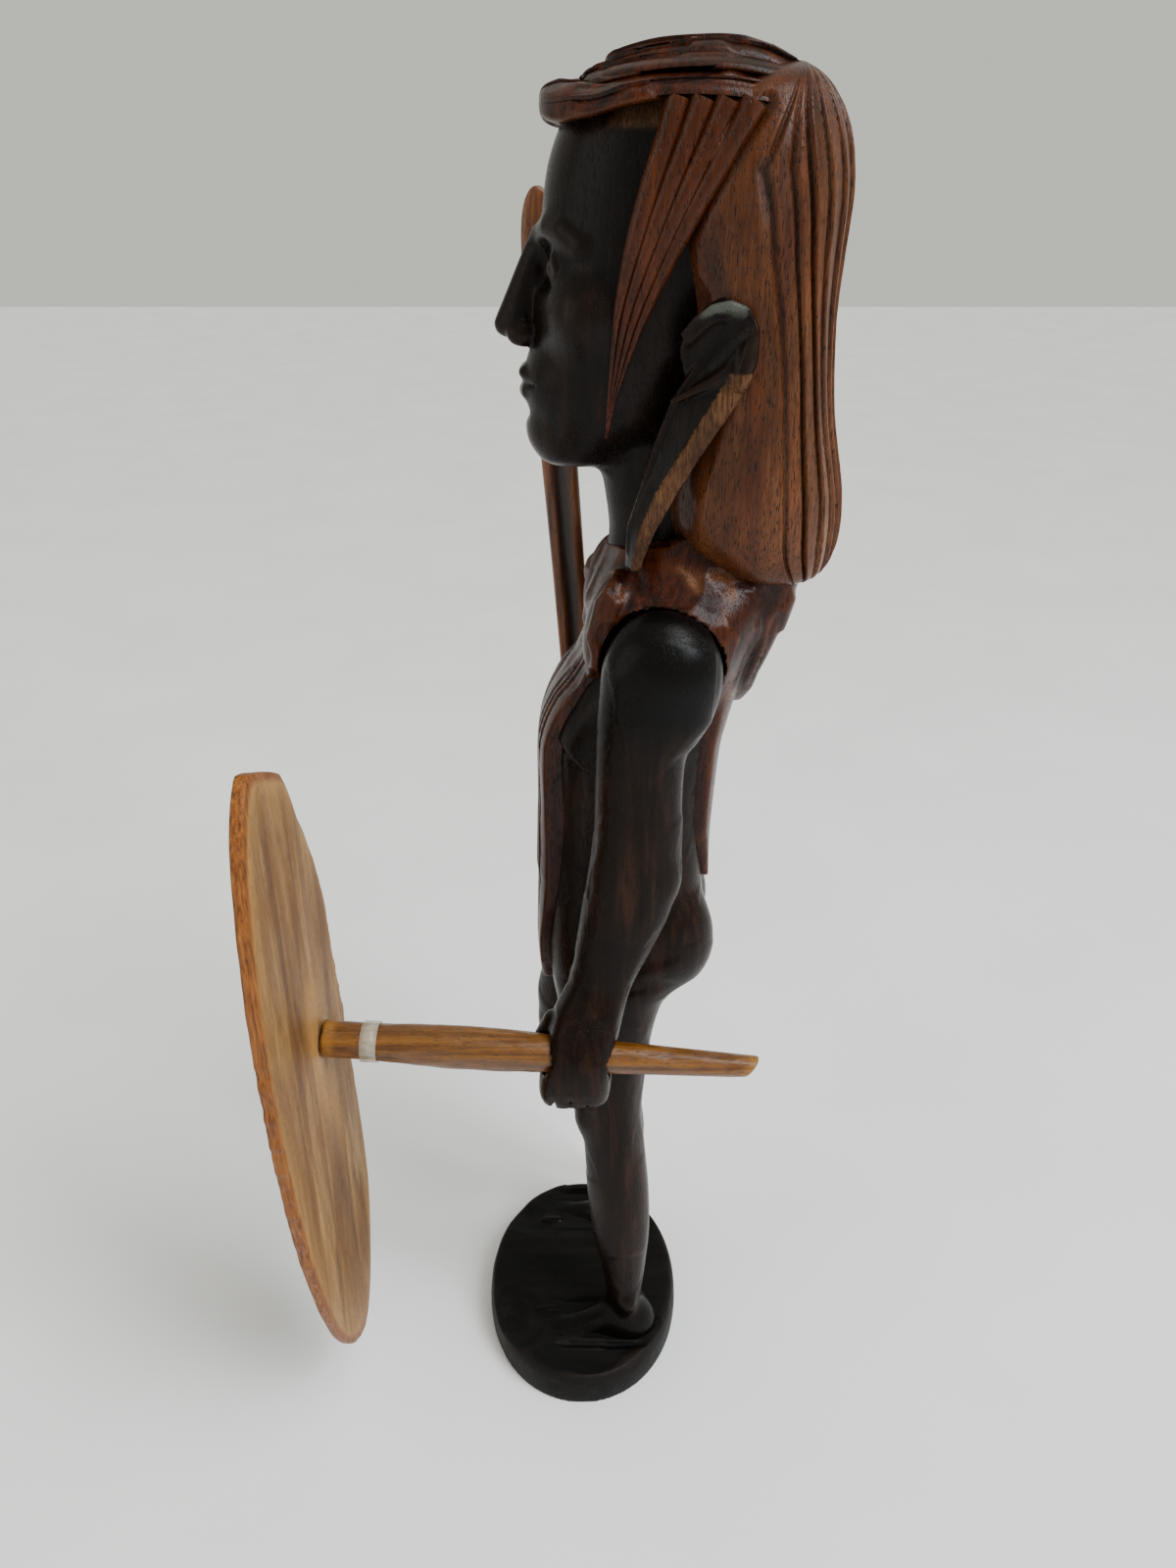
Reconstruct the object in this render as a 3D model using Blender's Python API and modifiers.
"""A carved wooden warrior figure that holds a loose spear and a shield on a handle.

The figure faces -Y and stands on z = 0. Its left side is +X. One hardwood block is carved into the
base, body, head, hair and cape. The spear lifts out of the hole in the right fist. The shield's
handle pulls forward out of the hole in the left fist, and the shield plate turns on the one nail
that holds it to the handle's end. All sizes below are in millimetres.
"""

import math

import bmesh
import bpy
from mathutils import Matrix, Vector

MM = 0.001

# Driving dimensions
GAP = 0.3  # clearance between pieces that touch
BASE_THICK = 12
BASE_HALF_X = 45
BASE_HALF_Y = 34
BASE_CENTRE = (4, -2)

# Spear: it leans forward, and its blade is a long flat bar with a rounded tip
SPEAR_FOOT = Vector((-48, 13.5, 3))
SPEAR_TOP = Vector((-48, -14.1, 371))
SHAFT_RADIUS = 3.3
BUTT_RADIUS = 1.6
BUTT_LENGTH = 14
BLADE_START = 162  # distance from the foot to the blade's shoulder
BLADE_HALF_THICK = 2.2
SPEAR_HOLE_RADIUS = SHAFT_RADIUS + GAP + 0.05

# Handle: a whittled round stick, measured along its axis from the middle of the left fist
HANDLE_ORIGIN = Vector((46, -3, 149))
HANDLE_YAW = math.radians(3)  # its front end swings in, towards the figure's middle
HANDLE_RISE = math.radians(2.2)
HANDLE_AXIS = Vector(
    (
        -math.sin(HANDLE_YAW) * math.cos(HANDLE_RISE),
        -math.cos(HANDLE_YAW) * math.cos(HANDLE_RISE),
        math.sin(HANDLE_RISE),
    )
)
HANDLE_FRONT = 73
HANDLE_TAIL = -51.5
HANDLE_PROFILE = [  # (distance along the axis, radius)
    (HANDLE_FRONT, 5.4),
    (60, 5.3),
    (50, 5.7),
    (36, 6.3),
    (22, 6.1),
    (8, 5.5),
    (-14, 4.5),
    (-30, 3.9),
    (HANDLE_TAIL, 3.0),
]

# Shield plate: an upright oval, leaning a little out to the figure's left
SHIELD_HALF_WIDTH = 31.8
SHIELD_HALF_HEIGHT = 115
SHIELD_THICK = 4.8
SHIELD_LEAN = math.radians(6.5)
SHIELD_TIP = math.radians(2.5)  # the plate is nailed on this far out of square with the handle
SHIELD_GAP = 0.5  # enough for the tipped plate to turn in front of the handle's square end
SHIELD_CENTRE = Vector((9.5, -14))  # from the nail to the oval's centre: across, up
SHIELD_SLANT_CUT = (-1.5, 109.4, math.radians(33))  # a point on the cut top end, and the cut's slope
SHIELD_SIDES = 72

NAIL_RADIUS = 0.9
NAIL_HEAD_RADIUS = 2.2
NAIL_HEAD_THICK = 0.8
NAIL_DEPTH = 12  # in the handle

BAND_AT = 59.5
BAND_WIDTH = 4.7
BAND_THICK = 0.5

# The block's surface
ROUGH_VOXEL = 1.5
FIGURE_TRIANGLES_KEPT = 0.055
RING_SIDES = 24
RINGS_PER_STATION = 4

# Stations of the carved forms: (height, front y, back y, half width) and, off the middle, centre x
NECK = [(258, 4, 36, 17), (275, 3.5, 34, 15), (290, 4.5, 34, 13.5), (305, 4, 36, 14), (320, 2, 38, 15)]
HEAD = [
    (302, -7, 12, 7),
    (308, -13, 20, 12.5),
    (318, -15.5, 28, 17.5),
    (330, -15, 36, 21),
    (345, -14, 44, 23.5),
    (360, -12, 50, 24.5),
    (375, -9.5, 52, 24.5),
    (386, -5, 50, 23),
    (392, 0, 46, 19),
]
HAIR = [
    (275, 36, 57, 20),
    (279, 26, 61.5, 26),
    (287, 19, 64, 29.5),
    (302, 16, 64, 31),
    (322, 12, 60.5, 31),
    (345, 10, 59.5, 31.5),
    (362, 12, 60.5, 31.5),
    (376, 14, 60.5, 31),
    (385, 17, 57.5, 29),
    (391, 24, 54, 24),
    (394.5, 34, 49, 14),
]
CROWN = [
    (383, -4, 45, 24),
    (385, -8, 47, 27),
    (389, -9, 48, 28),
    (393, -2, 48, 27),
    (397, 6, 46, 23),
    (400, 14, 42, 15),
]
TORSO = [
    (266, 4, 40, 26),
    (250, -6, 39, 28),
    (240, -10.5, 37, 28),
    (232, -11.5, 35, 27),
    (222, -9.5, 33, 24.5),
    (210, -7, 31, 22),
    (200, -6, 30.5, 21.5),
    (188, -7, 32, 23),
    (176, -8.5, 37, 25.5),
    (165, -9.5, 40, 27),
    (155, -10, 39, 27),
    (146, -9.5, 35, 26.5),
    (138, -6, 27, 23),
]
YOKE = [
    (248, -4, 43, 27),
    (258, -3, 47, 30),
    (266, -2, 50, 31),
    (274, 0, 53, 27),
    (282, 3, 50, 21),
    (290, 7, 44, 16),
]
FRONT_PANEL = [
    (264, -4, 4, 20, -4),
    (240, -13.2, 0, 21, -5),
    (212, -14.5, -4, 20, -5),
    (178, -14.6, -4, 18, -4),
    (156, -15, -6, 13, -3),
    (147, -14, -9, 4, -1),
]
BACK_PANEL = [
    (266, 30, 48, 26),
    (239, 30, 43.5, 24),
    (225, 28, 38.6, 23),
    (203, 26, 36, 21),
    (188, 28, 38.5, 16),
    (183, 32, 38, 9),
]
BACK_FLAP = [(277, 40, 57, 19), (262, 42, 53, 17), (250, 41, 49, 12), (240, 41, 46, 5)]
ARM = [
    (278, 11, 23, 6, 31),
    (270, 4.5, 31, 11, 32),
    (260, 3, 35, 12, 32.5),
    (250, 2.5, 32.5, 11, 33.5),
    (240, 2, 29, 9.2, 34.5),
    (225, 0.8, 28, 8.8, 35),
    (212, 0, 27.4, 8.8, 35.3),
    (200, -1.6, 26.2, 8.6, 35.5),
    (188, -3.5, 21.5, 8, 35.5),
    (175, -5, 15.3, 7.2, 36.2),
    (165, -6.8, 9.8, 6.8, 38.5),
    (156, -9, 7.6, 8, 42),
]
FIST = [
    (161, -9, 5.5, 6, 42),
    (156, -12.5, 7.2, 8.5, 43.5),
    (147, -14.2, 8, 9.6, 45),
    (138, -14.3, 8, 9.6, 45.5),
    (131, -13, 6.8, 8.2, 45.5),
    (129.5, -10, 4, 5.5, 45.5),
]
LEFT_LEG = [
    (152, -9.5, 32, 12.5, 14),
    (140, -9, 25.5, 12.5, 15),
    (130, -8, 20.5, 12, 16),
    (117, -5.5, 19.7, 11, 17.5),
    (101, -2.5, 19.5, 10, 18.7),
    (80, 0.7, 21.2, 9.8, 20.2),
    (60, 3.5, 21.3, 8.6, 21.4),
    (45, 5.5, 21, 7.5, 22.2),
    (30, 7.5, 21.4, 6.8, 23),
    (18, 8.5, 22.5, 6.8, 23.8),
    (8, 8, 24, 7.4, 24.4),
]
RIGHT_LEG = [
    (152, -11, 32, 12.5, 14),
    (138, -14.5, 25, 12.5, 15),
    (126, -17.4, 17.5, 12, 16.5),
    (114, -16.5, 14, 11, 17.8),
    (104, -13.5, 14, 10.2, 18.8),
    (90, -7.5, 16.5, 9.8, 19.8),
    (77, -2.5, 19, 9.4, 20.6),
    (60, 2.5, 21, 8.6, 21.6),
    (45, 5.5, 21, 7.5, 22.4),
    (30, 7.5, 21.4, 6.8, 23.2),
    (18, 8.5, 22.5, 6.8, 23.8),
    (8, 8, 24, 7.4, 24.4),
]
EAR_LOBE = [(341, 26, 38, 3.2, 31), (325, 25, 36, 3, 31.5), (305, 17, 26, 2.8, 31), (287, 10, 17, 2.6, 30)]
# Rounded lumps: (centre, radii, tilt about x in degrees)
NOSE = ((0, -15.5, 341), (4.6, 6.5, 9), 20)
EAR = ((30.5, 30, 336), (3.2, 8.5, 12), -20)
FOOT = ((25, 1.5, 12), (8.4, 24, 7.5), 3)
FRONT_ROLL = ((0, -5, 389), (12, 5.2, 5.6), 0)
SECOND_ROLL = ((0, 1.5, 392.5), (14, 5, 5.4), 0)
RIGHT_FIST_BACK = 3.5  # the spear's fist is held this much further back


def clear_scene():
    for thing in list(bpy.data.objects):
        bpy.data.objects.remove(thing)


def new_collection(name):
    made = bpy.data.collections.new(name)
    bpy.context.scene.collection.children.link(made)
    return made


def material(name, colour, roughness, metallic=0.0):
    """A Principled BSDF with one colour."""
    made = bpy.data.materials.new(name)
    made.use_nodes = True
    shader = made.node_tree.nodes["Principled BSDF"]
    shader.inputs["Base Color"].default_value = (*colour, 1)
    shader.inputs["Roughness"].default_value = roughness
    shader.inputs["Metallic"].default_value = metallic
    return made


def add_object(name, bm, collection, finish=None):
    """Turns a bmesh, which is in millimetres, into an object in metres."""
    bmesh.ops.scale(bm, vec=(MM, MM, MM), verts=bm.verts)
    bmesh.ops.recalc_face_normals(bm, faces=bm.faces)
    mesh = bpy.data.meshes.new(name)
    bm.to_mesh(mesh)
    bm.free()
    made = bpy.data.objects.new(name, mesh)
    collection.objects.link(made)
    if finish:
        mesh.materials.append(finish)
        mesh.shade_smooth()
        mesh.set_sharp_from_angle(angle=math.radians(40))
    return made


def along(origin, axis):
    """The matrix that puts a shape built on +Z onto an axis through origin."""
    return Matrix.Translation(origin) @ axis.to_track_quat("Z", "Y").to_matrix().to_4x4()


def smooth_stations(stations):
    """Stations with more between them, on a Catmull-Rom curve through the given ones."""
    ends = [stations[0], *stations, stations[-1]]
    fine = []
    for before, start, end, after in zip(ends, ends[1:], ends[2:], ends[3:]):
        for step in range(RINGS_PER_STATION):
            t = step / RINGS_PER_STATION
            fine.append(
                [
                    b + 0.5 * t * (c - a + t * (2 * a - 5 * b + 4 * c - d + t * (3 * (b - c) + d - a)))
                    for a, b, c, d in zip(before, start, end, after)
                ]
            )
    return [*fine, list(stations[-1])]


def add_column(bm, stations, side=1, back_shift=0.0):
    """Lofts level oval rings through the stations. side -1 puts it on the figure's right."""
    rings = []
    for height, front, back, half_width, *centre in smooth_stations(stations):
        middle_x = side * centre[0] if centre else 0.0
        middle_y = (front + back) / 2 + back_shift
        ring = []
        for corner in range(RING_SIDES):
            turn = math.tau * corner / RING_SIDES
            x = middle_x + half_width * math.cos(turn)
            y = middle_y + (back - front) / 2 * math.sin(turn)
            ring.append(bm.verts.new((x, y, height)))
        rings.append(ring)
    for lower, upper in zip(rings, rings[1:]):
        for here in range(RING_SIDES):
            there = (here + 1) % RING_SIDES
            bm.faces.new((lower[here], lower[there], upper[there], upper[here]))
    bm.faces.new(rings[0])
    bm.faces.new(rings[-1])


def add_lump(bm, lump, side=1):
    """A tilted ellipsoid."""
    (x, y, z), radii, tilt = lump
    place = (
        Matrix.Translation((side * x, y, z))
        @ Matrix.Rotation(math.radians(tilt), 4, "X")
        @ Matrix.Diagonal((*radii, 1))
    )
    bmesh.ops.create_uvsphere(bm, u_segments=RING_SIDES, v_segments=16, radius=1, matrix=place)


def add_cylinder(bm, origin, axis, start, end, radius_start, radius_end, sides=32):
    """A cylinder or cone between two distances along an axis."""
    middle = origin + axis * (start + end) / 2
    bmesh.ops.create_cone(
        bm,
        cap_ends=True,
        segments=sides,
        radius1=radius_start,
        radius2=radius_end,
        depth=end - start,
        matrix=along(middle, axis),
    )


def turned(name, profile, origin, axis, collection, finish, sides=32):
    """A shape turned about an axis, from an outer profile of (distance, radius) that runs top to bottom."""
    bm = bmesh.new()
    points = [(0, 0, profile[0][0])]
    points += [(radius, 0, distance) for distance, radius in profile]
    points += [(0, 0, profile[-1][0])]
    verts = [bm.verts.new(Vector(p) * MM) for p in points]
    for start, end in zip(verts, verts[1:]):
        bm.edges.new((start, end))
    mesh = bpy.data.meshes.new(name)
    bm.to_mesh(mesh)
    bm.free()
    made = bpy.data.objects.new(name, mesh)
    collection.objects.link(made)
    mesh.materials.append(finish)
    screw = made.modifiers.new("Turn", "SCREW")
    screw.steps = screw.render_steps = sides
    screw.use_merge_vertices = True
    screw.merge_threshold = 0.00002
    made.matrix_world = along(origin * MM, axis)
    return made


def cut(target, cutter):
    """Cuts a hidden cutter out of target with a Boolean."""
    cutter.hide_render = True
    cutter.display_type = "WIRE"
    modifier = target.modifiers.new("Cut " + cutter.name, "BOOLEAN")
    modifier.operation = "DIFFERENCE"
    modifier.object = cutter


def handle_radius(distance):
    """The handle's radius at a distance along its axis."""
    for (far, far_radius), (near, near_radius) in zip(HANDLE_PROFILE, HANDLE_PROFILE[1:]):
        if near <= distance <= far:
            share = (distance - near) / (far - near)
            return near_radius + share * (far_radius - near_radius)
    return HANDLE_PROFILE[-1][1]


def carved_figure(collection, cutters, finish):
    """The one block: every carved form joined by a voxel remesh, then thinned and drilled."""
    bm = bmesh.new()
    for stations in (NECK, HEAD, HAIR, CROWN, TORSO, YOKE, FRONT_PANEL, BACK_PANEL, BACK_FLAP):
        add_column(bm, stations)
    for lump in (NOSE, FRONT_ROLL, SECOND_ROLL):
        add_lump(bm, lump)
    for side in (1, -1):
        add_column(bm, ARM, side, 0 if side > 0 else RIGHT_FIST_BACK / 2)
        add_column(bm, FIST, side, 0 if side > 0 else RIGHT_FIST_BACK)
        add_column(bm, EAR_LOBE, side)
        add_lump(bm, EAR, side)
        add_lump(bm, FOOT, side)
    add_column(bm, LEFT_LEG, 1)
    add_column(bm, RIGHT_LEG, -1)
    bmesh.ops.create_cone(
        bm,
        cap_ends=True,
        segments=64,
        radius1=1,
        radius2=1,
        depth=BASE_THICK * 2,
        matrix=Matrix.Translation((*BASE_CENTRE, 0)) @ Matrix.Diagonal((BASE_HALF_X, BASE_HALF_Y, 1, 1)),
    )
    figure = add_object("carved_figure", bm, collection, finish)
    remesh = figure.modifiers.new("One block", "REMESH")
    remesh.mode = "VOXEL"
    remesh.voxel_size = ROUGH_VOXEL * MM
    soften = figure.modifiers.new("Soften", "SMOOTH")
    soften.factor = 0.5
    soften.iterations = 3
    thin = figure.modifiers.new("Thin", "DECIMATE")
    thin.ratio = FIGURE_TRIANGLES_KEPT

    bm = bmesh.new()
    below = Matrix.Translation((0, 0, -20)) @ Matrix.Diagonal((160, 160, 40, 1))
    bmesh.ops.create_cube(bm, size=1, matrix=below)
    cut(figure, add_object("cutter_under_base", bm, cutters))

    handle_hole = bmesh.new()
    start, end = -16, 18
    add_cylinder(
        handle_hole,
        HANDLE_ORIGIN,
        HANDLE_AXIS,
        start,
        end,
        handle_radius(start) + GAP + 0.1,
        handle_radius(end) + GAP + 0.1,
    )
    cut(figure, add_object("cutter_handle_hole", handle_hole, cutters))

    axis = (SPEAR_TOP - SPEAR_FOOT).normalized()
    spear_hole = bmesh.new()
    add_cylinder(
        spear_hole, SPEAR_FOOT, axis, BLADE_START - 40, BLADE_START + 2, SPEAR_HOLE_RADIUS, SPEAR_HOLE_RADIUS
    )
    cut(figure, add_object("cutter_spear_hole", spear_hole, cutters))
    seat = bmesh.new()
    add_cylinder(seat, SPEAR_FOOT, axis, BLADE_START - GAP, BLADE_START + 8, 7.5, 7.5)
    cut(figure, add_object("cutter_blade_seat", seat, cutters))
    return figure


def spear_sections(length):
    """(distance, half width, half thickness) along the spear, from butt to tip."""
    return [
        (0, BUTT_RADIUS, BUTT_RADIUS),
        (BUTT_LENGTH, 2.8, 2.8),
        (BLADE_START - 30, SHAFT_RADIUS, SHAFT_RADIUS),
        (BLADE_START, SHAFT_RADIUS, SHAFT_RADIUS),
        (BLADE_START + 0.2, 4.9, 2.6),
        (BLADE_START + 12, 5.2, BLADE_HALF_THICK),
        (255, 5.1, BLADE_HALF_THICK),
        (298, 5.5, BLADE_HALF_THICK),
        (342, 6.0, BLADE_HALF_THICK),
        (length - 14, 5.4, 2.0),
        (length - 5, 4.0, 1.7),
        (length - 1, 2.2, 1.2),
        (length, 0.8, 0.6),
    ]


def spear(collection, finish):
    """One stick: a round shaft with a tapered butt, and a flat blade with its faces to the sides."""
    length = (SPEAR_TOP - SPEAR_FOOT).length
    sides = 20
    bm = bmesh.new()
    rings = []
    for distance, half_width, half_thick in spear_sections(length):
        ring = []
        for corner in range(sides):
            turn = math.tau * corner / sides
            ring.append(bm.verts.new((half_thick * math.cos(turn), half_width * math.sin(turn), distance)))
        rings.append(ring)
    for lower, upper in zip(rings, rings[1:]):
        for here in range(sides):
            there = (here + 1) % sides
            bm.faces.new((lower[here], lower[there], upper[there], upper[here]))
    bm.faces.new(rings[0])
    bm.faces.new(rings[-1])
    made = add_object("spear", bm, collection, finish)
    lean = math.atan2(SPEAR_FOOT.y - SPEAR_TOP.y, SPEAR_TOP.z - SPEAR_FOOT.z)
    made.rotation_euler = (lean, 0, 0)
    made.location = SPEAR_FOOT * MM
    return made


def shield_handle(collection, cutters, finish):
    made = turned("shield_handle", HANDLE_PROFILE, HANDLE_ORIGIN, HANDLE_AXIS, collection, finish, 28)
    bm = bmesh.new()
    add_cylinder(
        bm,
        HANDLE_ORIGIN,
        HANDLE_AXIS,
        HANDLE_FRONT - NAIL_DEPTH - 2 * GAP,
        HANDLE_FRONT + 5,
        NAIL_RADIUS + GAP,
        NAIL_RADIUS + GAP,
        16,
    )
    cut(made, add_object("cutter_nail_hole", bm, cutters))
    return made


def handle_band(collection, finish):
    """A thin clear sleeve around the handle."""
    inner = handle_radius(BAND_AT) + GAP + 0.1
    outer = inner + BAND_THICK
    low, high = BAND_AT - BAND_WIDTH / 2, BAND_AT + BAND_WIDTH / 2
    bm = bmesh.new()
    corners = [(inner, low), (inner, high), (outer, high), (outer, low)]
    verts = [bm.verts.new(Vector((radius, 0, distance)) * MM) for radius, distance in corners]
    for here, vert in enumerate(verts):
        bm.edges.new((vert, verts[(here + 1) % len(verts)]))
    mesh = bpy.data.meshes.new("handle_band")
    bm.to_mesh(mesh)
    bm.free()
    made = bpy.data.objects.new("handle_band", mesh)
    collection.objects.link(made)
    mesh.materials.append(finish)
    screw = made.modifiers.new("Turn", "SCREW")
    screw.steps = screw.render_steps = 28
    screw.use_merge_vertices = True
    screw.merge_threshold = 0.00002
    made.matrix_world = along(HANDLE_ORIGIN * MM, HANDLE_AXIS)
    return made


def shield_nail(collection, finish):
    """A round nail: its head on the plate's front, its shank through the plate into the handle."""
    plate_front = HANDLE_FRONT + SHIELD_GAP + SHIELD_THICK
    head_back = plate_front + GAP
    profile = [
        (head_back + NAIL_HEAD_THICK, NAIL_HEAD_RADIUS * 0.8),
        (head_back + NAIL_HEAD_THICK / 2, NAIL_HEAD_RADIUS),
        (head_back, NAIL_HEAD_RADIUS),
        (head_back, NAIL_RADIUS),
        (HANDLE_FRONT - NAIL_DEPTH + 2.5, NAIL_RADIUS),
        (HANDLE_FRONT - NAIL_DEPTH, 0.2),
    ]
    return turned("shield_nail", profile, HANDLE_ORIGIN, HANDLE_AXIS, collection, finish, 16)


def shield_matrix():
    """Puts the plate, built upright in its own XZ plane about the nail, on the handle's end."""
    back_face = HANDLE_ORIGIN + HANDLE_AXIS * (HANDLE_FRONT + SHIELD_GAP)
    square_to_handle = Matrix.Rotation(-HANDLE_YAW, 4, "Z") @ Matrix.Rotation(-HANDLE_RISE, 4, "X")
    tip_and_lean = Matrix.Rotation(SHIELD_TIP, 4, "X") @ Matrix.Rotation(SHIELD_LEAN, 4, "Y")
    return Matrix.Translation(back_face * MM) @ square_to_handle @ tip_and_lean


def shield_plate(collection, cutters, finish):
    """An oval plate with worn edges, its top end cut on a slant, drilled for the nail."""
    bm = bmesh.new()
    centre = Vector((SHIELD_CENTRE.x, -SHIELD_THICK / 2, SHIELD_CENTRE.y))
    place = (
        Matrix.Translation(centre)
        @ Matrix.Rotation(math.radians(90), 4, "X")
        @ Matrix.Diagonal((SHIELD_HALF_WIDTH, SHIELD_HALF_HEIGHT, 1, 1))
    )
    bmesh.ops.create_cone(
        bm, cap_ends=True, segments=SHIELD_SIDES, radius1=1, radius2=1, depth=SHIELD_THICK, matrix=place
    )
    made = add_object("shield_plate", bm, collection, finish)
    made.matrix_world = shield_matrix()

    bm = bmesh.new()
    across, up, slope = SHIELD_SLANT_CUT
    corner = Matrix.Translation(centre + Vector((across, 0, up))) @ Matrix.Rotation(-slope, 4, "Y")
    bmesh.ops.create_cube(
        bm, size=1, matrix=corner @ Matrix.Translation((0, 0, 20)) @ Matrix.Diagonal((80, 40, 40, 1))
    )
    top_cutter = add_object("cutter_shield_top", bm, cutters)
    top_cutter.matrix_world = shield_matrix()
    cut(made, top_cutter)

    bm = bmesh.new()
    radius = NAIL_RADIUS + GAP
    start, end = HANDLE_FRONT - 4, HANDLE_FRONT + SHIELD_THICK + 5
    add_cylinder(bm, HANDLE_ORIGIN, HANDLE_AXIS, start, end, radius, radius, 16)
    cut(made, add_object("cutter_plate_hole", bm, cutters))

    edge = made.modifiers.new("Worn edge", "BEVEL")
    edge.width = 0.8 * MM
    edge.segments = 2
    edge.limit_method = "ANGLE"
    edge.angle_limit = math.radians(50)
    return made


def main():
    clear_scene()
    parts = new_collection("carved_warrior_figure")
    cutters = new_collection("cutters")
    dark_wood = material("dark_stained_wood", (0.045, 0.022, 0.014), 0.32)
    spear_wood = material("spear_wood", (0.30, 0.11, 0.03), 0.4)
    shield_wood = material("shield_wood", (0.46, 0.27, 0.13), 0.6)
    handle_wood = material("handle_wood", (0.38, 0.19, 0.055), 0.45)
    clear_plastic = material("clear_plastic", (0.8, 0.78, 0.74), 0.2)
    steel = material("nail_steel", (0.42, 0.41, 0.40), 0.35, 1.0)
    carved_figure(parts, cutters, dark_wood)
    spear(parts, spear_wood)
    shield_handle(parts, cutters, handle_wood)
    handle_band(parts, clear_plastic)
    shield_nail(parts, steel)
    shield_plate(parts, cutters, shield_wood)


main()
